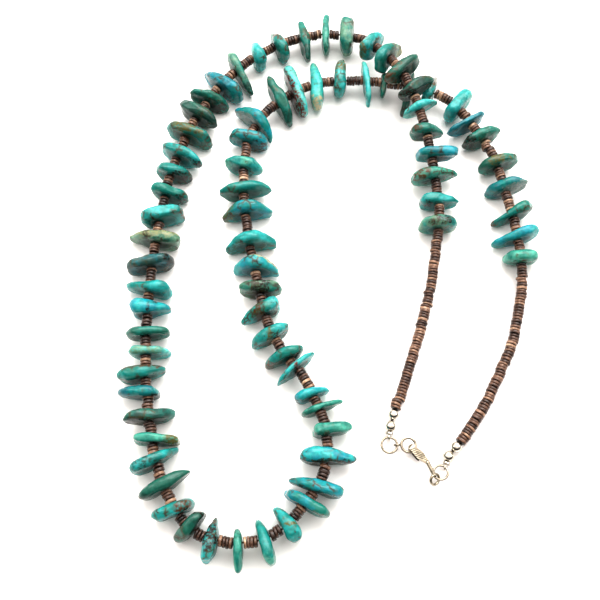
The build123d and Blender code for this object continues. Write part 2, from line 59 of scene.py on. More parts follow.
# Wear of the stones. A tip starts to narrow within TIP_START of the half length and keeps TIP_KEEP of
# its width at its end. A flat takes off FACET_CUT of the height under it.
WELD = 0.001 * MM
STONE_VOXEL = 0.38 * MM
SMOOTH_FACTOR = 0.5
SMOOTH_STEPS = 7
SWELL = 0.11 * MM
TIP_START = (0.45, 0.85)
TIP_KEEP = (0.5, 0.8)
TIP_SLICES = 24
FACETS = 8
FACET_CUT = (0.02, 0.12)

# Relief of the stones, from dents through lumps to pits. shift sets one layer's pattern apart from the
# others, RELIEF_STEP moves the relief on from stone to stone, and PATTERN_STEP the colours.
Relief = namedtuple("Relief", "size depth shift")
RELIEF = [
    Relief(5.5 * MM, 0.5 * MM, 1.0),
    Relief(2.6 * MM, 0.2 * MM, 1.9),
    Relief(0.9 * MM, 0.03 * MM, 0.7),
]
RELIEF_STEP = (1.37, 2.11, 0.73)
PATTERN_STEP = 0.173

# Shell discs. A rim is eased through a knee at a share of the ease, and marked as DISC_KNEE_RIM there.
# DISC_SHARES spreads the thicknesses in a stack, and DISC_LOSS is how much narrower a disc may be.
# A disc's rim marks set painted shade in its eased grooves and painted light along its rim band.
DISC_THICKNESS = 1.0 * MM
DISC_SHARES = (0.8, 1.2)
DISC_SEGMENTS = 20
DISC_BORE = 0.5 * MM
DISC_EASE = 0.3 * MM
DISC_KNEE = 0.25
DISC_KNEE_RIM = 0.6
DISC_SPACE = 0.04 * MM
DISC_OFFSET = 0.18 * MM
SLIP_CHANCE = 0.4
DISC_TILT = math.radians(2.2)
DISC_LOSS = 0.07
DISC_CHIP = 0.03
DISC_WAVES = (2, 3, 5)
DISC_PATTERNS = 5
STACK_REACH = 0.14 * MM
THREAD_SAMPLE = 4.0 * MM

# Colours, as the screen shows them, from 0 to 255
PALETTE = {
    "cyan": (42, 154, 152),
    "sky": (26, 134, 146),
    "blue": (18, 100, 108),
    "teal": (24, 124, 118),
    "sea": (28, 114, 102),
    "mint": (72, 152, 134),
    "aqua": (96, 176, 166),
    "green": (30, 92, 78),
    "moss": (28, 66, 58),
    "slate": (46, 74, 68),
    "sage": (94, 134, 112),
    "khaki": (128, 132, 98),
    "grey": (120, 134, 128),
    "sand": (168, 154, 122),
    "olive": (88, 84, 44),
    "brown": (78, 50, 30),
    "umber": (32, 24, 18),
    "rust": (82, 32, 24),
}

# Silver and thread, in the same screen colours
Finish = namedtuple("Finish", "light dark ripple_size ripple_depth")
# Light and dark mix by wear; the silver as a whole is darker than bright silver, the wire and the leaf
# most: painted shade.
SILVER = {
    "silver_beads": Finish((214, 210, 200), (164, 156, 142), 1.4 * MM, 0.004 * MM),
    "silver_wire": Finish((164, 156, 142), (116, 108, 94), 1.4 * MM, 0.006 * MM),
    "silver_leaf": Finish((176, 168, 152), (120, 112, 96), 0.6 * MM, 0.012 * MM),
}
SILVER_OF_NODES = {
    "silver_beads": "silver_beads",
    "end_cup": "silver_beads",
    "jump_ring": "silver_wire",
    "clasp_eye": "silver_wire",
    "clasp_hook": "silver_leaf",
}
THREAD_DARK = (40, 26, 20)
THREAD_LIGHT = (84, 62, 48)

# Each stone in string order. spot is a patch of another colour on the named side of the stone, as the
# photo's viewer sees it, or round its middle for a band; spread is the share of the stone that it covers;
# matrix is how veined it is.
Stone = namedtuple("Stone", "base second spot side spread matrix")
RIGHT_STONES = [
    Stone("mint", "sea", "green", "near", 0.12, 0.25),
    Stone("teal", "sky", "cyan", "right", 0.20, 0.10),
    Stone("sea", "teal", "brown", "left", 0.12, 0.30),
    Stone("blue", "teal", "grey", "right near", 0.25, 0.20),
    Stone("green", "sea", "olive", "top", 0.12, 0.30),
    Stone("green", "sea", "umber", "left near", 0.22, 0.25),
    Stone("blue", "sky", "blue", "left", 0.20, 0.10),
    Stone("teal", "cyan", "aqua", "right", 0.30, 0.15),
    Stone("teal", "cyan", "brown", "far top", 0.20, 0.35),
    Stone("green", "moss", "umber", "near", 0.15, 0.30),
    Stone("green", "sea", "moss", "far", 0.20, 0.20),
    Stone("cyan", "aqua", "teal", "near", 0.15, 0.10),
    Stone("cyan", "teal", "olive", "far", 0.52, 0.35),
    Stone("mint", "cyan", "sand", "near", 0.10, 0.15),
    Stone("cyan", "aqua", "rust", "left near", 0.42, 0.25),
    Stone("green", "sea", "moss", "near", 0.25, 0.25),
    Stone("teal", "sky", "grey", "near left", 0.25, 0.25),
    Stone("sky", "teal", "umber", "near", 0.10, 0.40),
]
FRONT_STONES = [
    Stone("teal", "mint", "cyan", "near", 0.15, 0.10),
    Stone("teal", "sea", "green", "near", 0.20, 0.20),
    Stone("teal", "sky", "olive", "left", 0.22, 0.40),
    Stone("cyan", "teal", "green", "near", 0.20, 0.15),
    Stone("sky", "cyan", "sand", "right far", 0.28, 0.45),
    Stone("sea", "sage", "umber", "band", 0.42, 0.60),
    Stone("cyan", "sea", "brown", "band", 0.22, 0.45),
    Stone("teal", "cyan", "olive", "band", 0.12, 0.50),
    Stone("sea", "teal", "brown", "left near", 0.14, 0.40),
    Stone("cyan", "teal", "rust", "band", 0.12, 0.40),
    Stone("cyan", "sky", "umber", "left near", 0.08, 0.20),
    Stone("sea", "mint", "green", "left near", 0.25, 0.12),
    Stone("mint", "sea", "green", "near", 0.25, 0.20),
    Stone("sky", "cyan", "umber", "near", 0.22, 0.60),
    Stone("sky", "teal", "slate", "left near", 0.20, 0.50),
    Stone("sky", "sea", "sea", "right", 0.45, 0.20),
    Stone("cyan", "teal", "olive", "band", 0.10, 0.35),
    Stone("teal", "sea", "mint", "near", 0.25, 0.15),
    Stone("sea", "mint", "green", "far", 0.25, 0.12),
    Stone("teal", "cyan", "umber", "far top", 0.26, 0.35),
    Stone("green", "moss", "umber", "right far", 0.20, 0.40),
    Stone("teal", "cyan", "brown", "top right", 0.12, 0.28),
    Stone("green", "green", "moss", "near", 0.20, 0.08),
    Stone("teal", "cyan", "moss", "top", 0.10, 0.25),
    Stone("sea", "mint", "olive", "right", 0.30, 0.30),
    Stone("slate", "sea", "umber", "near", 0.22, 0.35),
    Stone("blue", "teal", "umber", "right near", 0.14, 0.30),
    Stone("sea", "teal", "brown", "far top", 0.16, 0.35),
    Stone("aqua", "cyan", "sage", "top", 0.20, 0.25),
    Stone("green", "sea", "slate", "left", 0.12, 0.12),
    Stone("sky", "cyan", "umber", "band", 0.07, 0.40),
    Stone("teal", "cyan", "olive", "left far", 0.10, 0.30),
    Stone("blue", "slate", "umber", "right", 0.15, 0.45),
    Stone("sage", "green", "khaki", "top far", 0.30, 0.50),
    Stone("teal", "cyan", "brown", "right", 0.08, 0.40),
    Stone("sea", "teal", "umber", "right near", 0.14, 0.25),
    Stone("teal", "green", "umber", "right near", 0.25, 0.30),
    Stone("teal", "cyan", "umber", "near", 0.12, 0.35),
    Stone("teal", "green", "olive", "top", 0.15, 0.35),
    Stone("slate", "green", "moss", "near", 0.25, 0.25),
]
LEFT_STONES = [
    Stone("green", "sea", "umber", "near", 0.12, 0.30),
    Stone("blue", "sky", "teal", "near", 0.15, 0.30),
    Stone("sea", "sage", "moss", "near", 0.30, 0.25),
    Stone("cyan", "teal", "aqua", "left", 0.30, 0.20),
    Stone("teal", "sea", "brown", "far top", 0.15, 0.35),
    Stone("sea", "green", "moss", "near", 0.25, 0.25),
    Stone("sea", "mint", "green", "near", 0.20, 0.15),
    Stone("sea", "sage", "grey", "right", 0.35, 0.35),
    Stone("cyan", "teal", "olive", "left", 0.20, 0.35),
    Stone("sea", "teal", "khaki", "right", 0.25, 0.35),
    Stone("green", "moss", "brown", "left near", 0.15, 0.40),
    Stone("green", "moss", "umber", "near", 0.25, 0.25),
    Stone("cyan", "aqua", "umber", "right", 0.05, 0.15),
    Stone("green", "sea", "brown", "top left", 0.10, 0.45),
    Stone("sky", "blue", "teal", "left near", 0.20, 0.15),
    Stone("sea", "mint", "brown", "top left", 0.10, 0.55),
    Stone("cyan", "teal", "umber", "near left", 0.08, 0.15),
    Stone("teal", "sage", "umber", "top", 0.08, 0.30),
]

# Sides of a stone as the photo's viewer names them
SIDES = {
    "left": Vector((-1, 0, 0)),
    "right": Vector((1, 0, 0)),
    "near": Vector((0, -1, 0)),
    "far": Vector((0, 1, 0)),
    "top": Vector((0, 0, 1)),
}
BAND = "band"

# Shell tones, from 0 for the darkest disc to 1 for the palest
SHELL_TONES = [
    (0.00, (22, 14, 10)),
    (0.30, (60, 40, 31)),
    (0.58, (104, 76, 60)),
    (0.80, (146, 116, 94)),
    (1.00, (190, 164, 138)),
]
TONE_MIDDLE = {
    "heishi_front_spacers": 0.36,
    "heishi_left_spacers": 0.40,
    "heishi_right_spacers": 0.42,
    "heishi_left_run": 0.46,
    "heishi_right_run": 0.46,
}
TONE_SPREAD = 0.16
TONE_LIMITS = (0.02, 0.95)
PALE_CHANCE = 0.07
PALE_TONES = (0.60, 0.85)

# Patterns. A size is that of a feature, a fade the two levels between which the feature comes in, and a
# light, share, tone or roughness what it has at those two levels.
WHOLE_FADE = (0.0, 1.0)
BUMP_STRENGTH = 0.5

# Pattern of the stones
# Painted shade: a stone is darkened towards its bore, over its broad faces near the thread.
RIM_FADE = (0.25, 0.95)
BORE_PAINTED_SHADE = (0.42, 1.06)
RIM_ROUGHNESS = (0.16, 0.0)
CLOUD_SIZE = 5.0 * MM
CLOUD_FADE = (0.38, 0.64)
MOTTLE_SIZE = 1.1 * MM
MOTTLE_FADE = (0.3, 0.75)
MOTTLE_LIGHT = (0.78, 1.2)
SPOT_LIFT = 2.0
SPOT_EDGE_SIZE = 2.2 * MM
SPOT_EDGE_REACH = 0.8
SPOT_FADE = (-0.1, 0.2)
SPECKLE_SIZE = 0.8 * MM
SPECKLE_FADE = (0.36, 0.58)
SPECKLE_SHARE = (0.4, 1.0)
CRACK_SIZE = 3.0 * MM
WANDER_SIZE = 2.0 * MM
WANDER_REACH = 1.8 * MM
VEINED_SIZE = 4.2 * MM
VEINED_GAIN = 0.34
VEINED_FADE = (0.62, 0.74)
HALO_FADE = (0.0, 0.22)
HALO_SHARE = (0.5, 0.0)
VEIN_WIDTH = 0.055
VEIN_FADE = (-0.045, 0.02)
VEIN_SHARE = (1.0, 0.0)
BLOTCH_SIZE = 1.6 * MM
BLOTCH_GAIN = 0.15
BLOTCH_FADE = (0.70, 0.76)
ROCK_SIZE = 1.4 * MM
ROCK_FADE = (0.48, 0.75)
ROCK_SHARE = 0.88
ROCK_SINK = 0.6
ROCK_ROUGHNESS = (0.2, 0.42)
SCUFF_SIZE = 0.5 * MM
SCUFF_RISE = 0.2
STONE_BUMP = 0.09 * MM
STONE_IOR = 1.44

# Pattern of the shell discs
SHELL_BLOTCH_SIZE = 1.2 * MM
SHELL_BLOTCH_TONE = (-0.14, 0.14)
SHELL_FADE = (0.3, 0.7)
SHELL_GRAIN_SIZE = 0.22 * MM
SHELL_GRAIN_LIGHT = (0.82, 1.12)
# Painted shade in the grooves between discs and painted light along their rim band
SHELL_RIM_FADE = (0.1, 1.0)
SHELL_PAINTED_RIM_LIGHT = (0.12, 1.2)
SHELL_ROUGHNESS = (0.18, 0.34)
SHELL_BUMP = 0.05 * MM
SHELL_IOR = 1.5

# Patterns of the silver, the thread and the floor
WEAR_SIZE = 1.3 * MM
WEAR_FADE = (0.42, 0.72)
WEAR_ROUGHNESS_FADE = (0.3, 0.8)
WEAR_ROUGHNESS = (0.07, 0.18)
FIBRE_SIZE = 0.12 * MM
FIBRE_FADE = (0.35, 0.65)
FIBRE_BUMP = 0.06 * MM
FIBRE_STRENGTH = 0.8
THREAD_ROUGHNESS = 0.85
FLOOR_GRAIN_SIZE = 6.0 * MM
FLOOR_ROUGHNESS = 0.8
FLOOR_GLOSS = 0.2

# Floor, light and room. A strength of the room is two levels, then the strengths that it has at them.
FLOOR_HALF = 3.0
FLOOR_TINTS = ((0.888, 0.876, 0.872, 1.0), (0.908, 0.896, 0.892, 1.0))
EXPOSURE = 0.34
GAMMA = 0.82
Softbox = namedtuple("Softbox", "name place width depth power")
SOFTBOXES = [
    Softbox("key_behind", (0.06, 0.40, 0.64), 0.80, 0.58, 6.5),
    Softbox("fill_left", (-0.60, 0.05, 0.50), 0.30, 0.40, 1.0),
    Softbox("fill_right", (0.60, 0.0, 0.50), 0.30, 0.40, 1.0),
]
ROOM_TINT = (1.0, 0.93, 0.88, 1.0)
BRIGHT_SIDE = (0.0, 0.45, 0.89)
BRIGHT_SIDE_STRENGTH = (0.12, 0.85, 0.04, 1.6)
HORIZON_STRENGTH = (0.04, 0.30, 1.1, 0.0)


def screen_colour(name_or_rgb):
    """A screen colour from 0 to 255 as the linear colour that a shader takes."""
    rgb = PALETTE[name_or_rgb] if isinstance(name_or_rgb, str) else name_or_rgb
    shares = [channel / 255 for channel in rgb]
    linear = [c / 12.92 if c <= 0.04045 else ((c + 0.055) / 1.055) ** 2.4 for c in shares]
    return (*linear, 1.0)


# Node trees
class Nodes:
    """A node tree that grows by one call at a time."""

    def __init__(self, tree):
        self.tree = tree

    def feed(self, socket, value):
        """Links a socket to another node's output, or sets a plain value on it."""
        if isinstance(value, bpy.types.NodeSocket):
            self.tree.links.new(value, socket)
        else:
            socket.default_value = value

    def add(self, kind, inputs=None, **settings):
        """A new node with its settings and its inputs, which are given by number or name."""
        node = self.tree.nodes.new(kind)
        for name, value in settings.items():
            setattr(node, name, value)
        for key, value in (inputs or {}).items():
            self.feed(node.inputs[key], value)
        return node

    def attribute(self, name):
        return self.add("ShaderNodeAttribute", attribute_name=name)

    def split(self, colour):
        return self.add("ShaderNodeSeparateColor", {0: colour}).outputs

    def math(self, operation, first, second=0.0, third=0.0):
        inputs = {0: first, 1: second, 2: third}
        return self.add("ShaderNodeMath", inputs, operation=operation).outputs[0]

    def range(self, value, low, high, to_low=0.0, to_high=1.0):
        inputs = {0: value, 1: low, 2: high, 3: to_low, 4: to_high}
        return self.add("ShaderNodeMapRange", inputs, interpolation_type="SMOOTHSTEP").outputs[0]

    def mix(self, share, first, second, blend="MIX"):
        inputs = {0: share, 6: first, 7: second}
        return self.add("ShaderNodeMix", inputs, data_type="RGBA", blend_type=blend).outputs[2]

    def lit(self, colour, light):
        """A colour multiplied by a grey level, which carries painted light and shade as well as random
        tone.
        """
        grey = self.add("ShaderNodeCombineColor", {0: light, 1: light, 2: light}).outputs[0]
        return self.mix(1.0, colour, grey, "MULTIPLY")

    def noise(self, place, size, detail=2.0, roughness=0.5, distortion=0.0):
        inputs = {
            "Vector": place, "Scale": 1 / size,
            "Detail": detail, "Roughness": roughness, "Distortion": distortion,
        }
        return self.add("ShaderNodeTexNoise", inputs).outputs["Fac"]

    def cracks(self, place, size):
        inputs = {"Vector": place, "Scale": 1 / size}
        return self.add("ShaderNodeTexVoronoi", inputs, feature="DISTANCE_TO_EDGE").outputs["Distance"]

    def bump(self, height, distance, strength):
        inputs = {"Strength": strength, "Distance": distance, "Height": height}
        return self.add("ShaderNodeBump", inputs).outputs[0]

    def place(self, seed=None):
        """Object coordinates, shifted by the seed so that no two stones or discs carry the same pattern."""
        here = self.add("ShaderNodeTexCoord").outputs["Object"]
        if seed is None:
            return here
        return self.add("ShaderNodeVectorMath", {0: here, 1: seed}, operation="ADD").outputs[0]

    def wander(self, place, size, reach):
        """The same place pushed about by noise, so that straight cracks bend."""
        push = self.add("ShaderNodeTexNoise", {"Vector": place, "Scale": 1 / size}).outputs["Color"]
        inputs = {0: push, 1: (reach, reach, reach), 2: place}
        return self.add("ShaderNodeVectorMath", inputs, operation="MULTIPLY_ADD").outputs[0]


class Shader(Nodes):
    """A new material with its principled surface."""

    def __init__(self, name):
        self.material = bpy.data.materials.new(name)
        self.material.use_nodes = True
        super().__init__(self.material.node_tree)

    def surface_is(self, **values):
        surface = self.tree.nodes["Principled BSDF"]
        for name, value in values.items():
            self.feed(surface.inputs[name.replace("_", " ")], value)


# Materials
def stone_tones(s, place, rim):
    """The two tones of a stone in clouds, mottled, and darkened towards the bore by painted shade."""
    base = s.attribute("stone_base").outputs["Color"]
    second = s.attribute("stone_second").outputs["Color"]
    clouds = s.noise(place, CLOUD_SIZE, detail=3.0, roughness=0.55, distortion=0.6)
    mottle = s.noise(place, MOTTLE_SIZE, detail=4.0, roughness=0.62)
    mottle_light = s.range(mottle, *MOTTLE_FADE, *MOTTLE_LIGHT)
    # The mottle's random tone times the painted shade towards the bore
    light = s.math("MULTIPLY", mottle_light, s.range(rim, *WHOLE_FADE, *BORE_PAINTED_SHADE))
    return s.lit(s.mix(s.range(clouds, *CLOUD_FADE), base, second), light)


def spot_share(s, place, level):
    """How far a stone's spot covers its tones: ragged at the edge and speckled inside."""
    edge = s.noise(place, SPOT_EDGE_SIZE, detail=4.0, roughness=0.62)
    fringe = s.math("MULTIPLY_ADD", edge, 2 * SPOT_EDGE_REACH, -SPOT_EDGE_REACH)
    inside = s.range(s.math("ADD", level, fringe), *SPOT_FADE)
    speckle = s.noise(place, SPECKLE_SIZE, detail=3.0, roughness=0.6)
    return s.math("MULTIPLY", inside, s.range(speckle, *SPECKLE_FADE, *SPECKLE_SHARE))


def matrix_shares(s, place, amount):
    """The soft halo round a stone's cracks, and the rock in its veins and blotches."""
    crack = s.cracks(s.wander(place, WANDER_SIZE, WANDER_REACH), CRACK_SIZE)
    veined_level = s.math("ADD", s.noise(place, VEINED_SIZE), s.math("MULTIPLY", amount, VEINED_GAIN))
    veined = s.range(veined_level, *VEINED_FADE)
    halo = s.math("MULTIPLY", s.range(crack, *HALO_FADE, *HALO_SHARE), veined)
    past_vein = s.math("SUBTRACT", crack, s.math("MULTIPLY", veined, VEIN_WIDTH))
    vein = s.math("MULTIPLY", s.range(past_vein, *VEIN_FADE, *VEIN_SHARE), veined)
    blotches = s.noise(place, BLOTCH_SIZE, detail=4.0, roughness=0.6, distortion=0.8)
    blotch_level = s.math("ADD", blotches, s.math("MULTIPLY", amount, BLOTCH_GAIN))
    rock = s.math("MAXIMUM", vein, s.range(blotch_level, *BLOTCH_FADE))
    return halo, rock


def turquoise():
    s = Shader("turquoise")
    marks = s.attribute("stone_marks")
    spot_mark, matrix_amount, seed = s.split(marks.outputs["Color"])
    place = s.place(seed)
    # The painted shade towards the bore, read from the alpha of the stone's marks
    rim = s.range(marks.outputs["Alpha"], *RIM_FADE)
    spot_colour = s.attribute("stone_spot").outputs["Color"]
    level = s.math("SUBTRACT", spot_mark, SPOT_LIFT)
    halo, rock = matrix_shares(s, place, matrix_amount)
    rock_tint = s.range(s.noise(place, ROCK_SIZE, detail=3.0), *ROCK_FADE)
    rock_colour = s.mix(rock_tint, screen_colour("umber"), screen_colour("brown"))
    colour = stone_tones(s, place, rim)
    colour = s.mix(spot_share(s, place, level), colour, spot_colour)
    colour = s.mix(halo, colour, screen_colour("olive"))
    colour = s.mix(s.math("MULTIPLY", rock, ROCK_SHARE), colour, rock_colour)

    rock_roughness = s.range(rock, *WHOLE_FADE, *ROCK_ROUGHNESS)
    roughness = s.math("ADD", rock_roughness, s.range(rim, *WHOLE_FADE, *RIM_ROUGHNESS))
    scuffs = s.noise(place, SCUFF_SIZE, detail=4.0, roughness=0.65)
    height = s.math("MULTIPLY_ADD", rock, -ROCK_SINK, s.math("MULTIPLY", scuffs, SCUFF_RISE))
    relief = s.bump(height, STONE_BUMP, BUMP_STRENGTH)
    s.surface_is(Base_Color=colour, Roughness=roughness, IOR=STONE_IOR, Normal=relief)
    return s.material


def shell_tone(s, level):
    """The colour of the shell at a tone level."""
    ramp = s.add("ShaderNodeValToRGB", {0: level})
    stops = ramp.color_ramp.elements
    while len(stops) < len(SHELL_TONES):
        stops.new(1.0)
    for stop, (position, rgb) in zip(stops, SHELL_TONES):
        stop.position = position
        stop.color = screen_colour(rgb)
    return ramp.outputs[0]


def shell():
    s = Shader("shell_discs")
    marks = s.attribute("disc_marks")
    tone, seed, _ = s.split(marks.outputs["Color"])
    place = s.place(seed)
    blotches = s.noise(place, SHELL_BLOTCH_SIZE, detail=3.0, roughness=0.55)
    grain = s.noise(place, SHELL_GRAIN_SIZE, detail=4.0, roughness=0.7)
    level = s.math("ADD", tone, s.range(blotches, *SHELL_FADE, *SHELL_BLOTCH_TONE))
    grain_light = s.range(grain, *SHELL_FADE, *SHELL_GRAIN_LIGHT)
    # Painted shade in the grooves between discs and painted light along the rim band
    painted_rim_light = s.range(marks.outputs["Alpha"], *SHELL_RIM_FADE, *SHELL_PAINTED_RIM_LIGHT)
    colour = s.lit(shell_tone(s, level), s.math("MULTIPLY", grain_light, painted_rim_light))
    roughness = s.range(grain, *SHELL_FADE, *SHELL_ROUGHNESS)
    relief = s.bump(grain, SHELL_BUMP, BUMP_STRENGTH)
    s.surface_is(Base_Color=colour, Roughness=roughness, IOR=SHELL_IOR, Normal=relief)
    return s.material


def silver(name, finish):
    s = Shader(name)
    place = s.place()
    wear = s.noise(place, WEAR_SIZE, detail=4.0, roughness=0.6)
    colour = s.mix(s.range(wear, *WEAR_FADE), screen_colour(finish.light), screen_colour(finish.dark))
    roughness = s.range(wear, *WEAR_ROUGHNESS_FADE, *WEAR_ROUGHNESS)
    ripples = s.noise(place, finish.ripple_size, detail=3.0, roughness=0.6)
    relief = s.bump(ripples, finish.ripple_depth, BUMP_STRENGTH)
    s.surface_is(Base_Color=colour, Metallic=1.0, Roughness=roughness, Normal=relief)
    return s.material


def beading_thread():
    s = Shader("beading_thread")
    fibres = s.noise(s.place(), FIBRE_SIZE, detail=4.0, roughness=0.7)
    colour = s.mix(s.range(fibres, *FIBRE_FADE), screen_colour(THREAD_DARK), screen_colour(THREAD_LIGHT))
    relief = s.bump(fibres, FIBRE_BUMP, FIBRE_STRENGTH)
    s.surface_is(Base_Color=colour, Roughness=THREAD_ROUGHNESS, Normal=relief)
    return s.material


def floor_white():
    s = Shader("floor_white")
    colour = s.mix(s.noise(s.place(), FLOOR_GRAIN_SIZE, detail=3.0), *FLOOR_TINTS)
    s.surface_is(Base_Color=colour, Roughness=FLOOR_ROUGHNESS, Specular_IOR_Level=FLOOR_GLOSS)
    return s.material


# Meshes
def loose_parts(node):
    """The separate solids of a node as (points, faces), with the doubled points of its mesh joined."""
    bm = bmesh.new()
    bm.from_mesh(NODES[node].data)
    bmesh.ops.remove_doubles(bm, verts=bm.verts, dist=WELD)
    bm.verts.index_update()
    seen = set()
    parts = []
    for start in bm.verts:
        if start in seen:
            continue
        seen.add(start)
        queue = [start]
        for vertex in queue:
            for edge in vertex.link_edges:
                other = edge.other_vert(vertex)
                if other not in seen:
                    seen.add(other)
                    queue.append(other)
        number = {vertex: index for index, vertex in enumerate(queue)}
        faces = {face for vertex in queue for face in vertex.link_faces}
        ordered = sorted(faces, key=lambda face: face.index)
        parts.append((
            np.array([vertex.co for vertex in queue]),
            [[number[vertex] for vertex in face.verts] for face in ordered],
        ))
    bm.free()
    return parts


def middle(points):
    return Vector((points.min(axis=0) + points.max(axis=0)) / 2)


def string_order(parts, start):
    """Parts in the order of the string: each time the one nearest to the last."""
    left = list(parts)
    ordered = []
    here = start
    while left:
        nearest = min(left, key=lambda part: (middle(part[0]) - here).length)
        left = [part for part in left if part is not nearest]
        ordered.append(nearest)
        here = middle(nearest[0])
    return ordered


def centre_of(node):
    low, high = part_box(node)
    return (low + high) / 2


def placed(name, data):
    """A new object in the scene."""
    obj = bpy.data.objects.new(name, data)
    bpy.context.scene.collection.objects.link(obj)
    return obj


def stands_for(piece, node):
    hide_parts(node)
    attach(piece, "root")


class Joined:
    """Points, faces and point colours of many small forms, put together as one mesh."""

    def __init__(self, *layers):
        self.points = []
        self.faces = []
        self.layers = {layer: [] for layer in layers}
        self.count = 0

    def add(self, points, faces, **colours):
        self.points.append(points)
        self.faces += [[index + self.count for index in face] for face in faces]
        for layer, values in colours.items():
            self.layers[layer].append(np.broadcast_to(values, (len(points), 4)))
        self.count += len(points)

    def made(self, name, material):
        mesh = bpy.data.meshes.new(name)
        mesh.from_pydata(np.concatenate(self.points).tolist(), [], self.faces)
        for layer, values in self.layers.items():
            colour = mesh.attributes.new(layer, "FLOAT_COLOR", "POINT")
            colour.data.foreach_set("color", np.concatenate(values).ravel().astype(np.float32))
        mesh.materials.append(material)
        mesh.shade_smooth()
        return placed(name, mesh)


# Forms of the stones
def modified(points, faces, kind, **settings):
    """Points, normals and faces of a mesh after one modifier."""
    mesh = bpy.data.meshes.new("rough_stone")
    mesh.from_pydata(points.tolist(), [], faces)
    obj = placed("rough_stone", mesh)
    modifier = obj.modifiers.new("step", kind)
    for name, value in settings.items():
        setattr(modifier, name, value)
    result = bpy.data.meshes.new_from_object(obj.evaluated_get(bpy.context.evaluated_depsgraph_get()))
    count = len(result.vertices)
    moved = np.zeros(count * 3)
    normals = np.zeros(count * 3)
    result.vertices.foreach_get("co", moved)
    result.vertex_normals.foreach_get("vector", normals)
    polygons = [list(polygon.vertices) for polygon in result.polygons]
    bpy.data.objects.remove(obj)
    bpy.data.meshes.remove(mesh)
    bpy.data.meshes.remove(result)
    return moved.reshape(-1, 3), normals.reshape(-1, 3), polygons


def refined(part, seed):
    """A stone remeshed in even squares, worn at its tips and sides and softened."""
    chance = random.Random(SEED + seed)
    points, _, faces = modified(*part, "REMESH", mode="VOXEL", voxel_size=STONE_VOXEL)
    worn = faceted(rounded_tips(points, chance), chance)
    return modified(worn, faces, "SMOOTH", factor=SMOOTH_FACTOR, iterations=SMOOTH_STEPS)


def rounded_tips(points, chance):
    """A stone whose section shrinks towards the two ends of its long axis, as a tumbled stone's does."""
    centre = points.mean(axis=0)
    flat = (points - centre)[:, :2]
    values, vectors = np.linalg.eigh(np.cov(flat.T))
    axis = np.array([*vectors[:, np.argmax(values)], 0.0])
    along = (points - centre) @ axis
    half = (along.max() - along.min()) / 2
    from_middle = (along - (along.max() + along.min()) / 2) / half
    starts = np.where(from_middle > 0, chance.uniform(*TIP_START), chance.uniform(*TIP_START))
    share = np.clip((np.abs(from_middle) - starts) / (1 - starts), 0, 1)
    least = chance.uniform(*TIP_KEEP)
    keep = least + (1 - least) * np.sqrt(1 - share ** 2)
    slices = np.clip(((along / half + 1) * TIP_SLICES / 2).astype(int), 0, TIP_SLICES - 1)
    core = np.empty_like(points)
    for index in range(TIP_SLICES):
        inside = slices == index
        if inside.any():
            core[inside] = (points[inside].min(axis=0) + points[inside].max(axis=0)) / 2
    core += np.outer(along - ((core - centre) @ axis), axis)
    return core + (points - core) * keep[:, None]


def faceted(points, chance):
    """A stone with a few broad flats worn on it: what stands out past each flat is pressed back to it."""
    for _ in range(FACETS):
        direction = np.array([chance.gauss(0, 1) for _ in range(3)])
        direction /= np.linalg.norm(direction)
        height = (points - points.mean(axis=0)) @ direction
        flat_at = height.max() * (1 - chance.uniform(*FACET_CUT))
        points = points - np.outer(np.maximum(height - flat_at, 0), direction)
    return points


def tumbled(points, normals, seed):
    """The relief of a stone, moved along its normals. SWELL makes up for what the softening took."""
    shift = Vector([seed * step for step in RELIEF_STEP])
    moved = np.empty_like(points)
    for index, (point, normal) in enumerate(zip(points, normals)):
        here = Vector(point)
        heights = [noise.noise(here / layer.size + shift * layer.shift) * layer.depth for layer in RELIEF]
        moved[index] = point + normal * sum(heights, SWELL)
    return moved


def spot_level(points, row):
    """Over 0 where the stone's spot lies, measured towards the named side or, for a band, the middle."""
    centre = np.array(middle(points))
    half = (points.max(axis=0) - points.min(axis=0)) / 2
    local = (points - centre) / half
    if row.side == BAND:
        long_axis = 0 if half[0] > half[1] else 1
        towards = 1.0 - 2.0 * np.abs(local[:, long_axis])
    else:
        direction = sum((SIDES[name] for name in row.side.split()), Vector())
        towards = local @ np.array(direction)
    return towards / towards.max() - (1.0 - 2.0 * row.spread)


def rim_share(points):
    """From 0 at the bore to 1 at the rim of a stone, measured in the stone's own broad plane; it sets the
    painted shade.
    """
    local = points - points.mean(axis=0)
    broad = np.linalg.eigh(np.cov(local.T))[1][:, 1:]
    flat = local @ broad
    half = (flat.max(axis=0) - flat.min(axis=0)) / 2
    return np.clip(np.linalg.norm(flat / half, axis=1), 0, 1)


def add_stone(joined, part, row, seed):
    points, normals, faces = refined(part, seed)
    points = tumbled(points, normals, seed)
    points[:, 2] = np.maximum(points[:, 2], 0.0)
    marks = np.ones((len(points), 4))
    marks[:, 0] = spot_level(points, row) + SPOT_LIFT
    marks[:, 1] = row.matrix
    marks[:, 2] = seed * PATTERN_STEP
    # Alpha: the rim share, which sets the painted shade towards the bore
    marks[:, 3] = rim_share(points)
    joined.add(
        points, faces,
        stone_base=screen_colour(row.base),
        stone_second=screen_colour(row.second),
        stone_spot=screen_colour(row.spot),
        stone_marks=marks,
    )


def make_stone_piece(name, node, parts, rows, first_seed, material):
    """All the stones of a node as one piece, each with its own row of the table and its own seed."""
    joined = Joined("stone_base", "stone_second", "stone_spot", "stone_marks")
    for index, (part, row) in enumerate(zip(parts, rows)):
        add_stone(joined, part, row, first_seed + index)
    stands_for(joined.made(name, material), node)


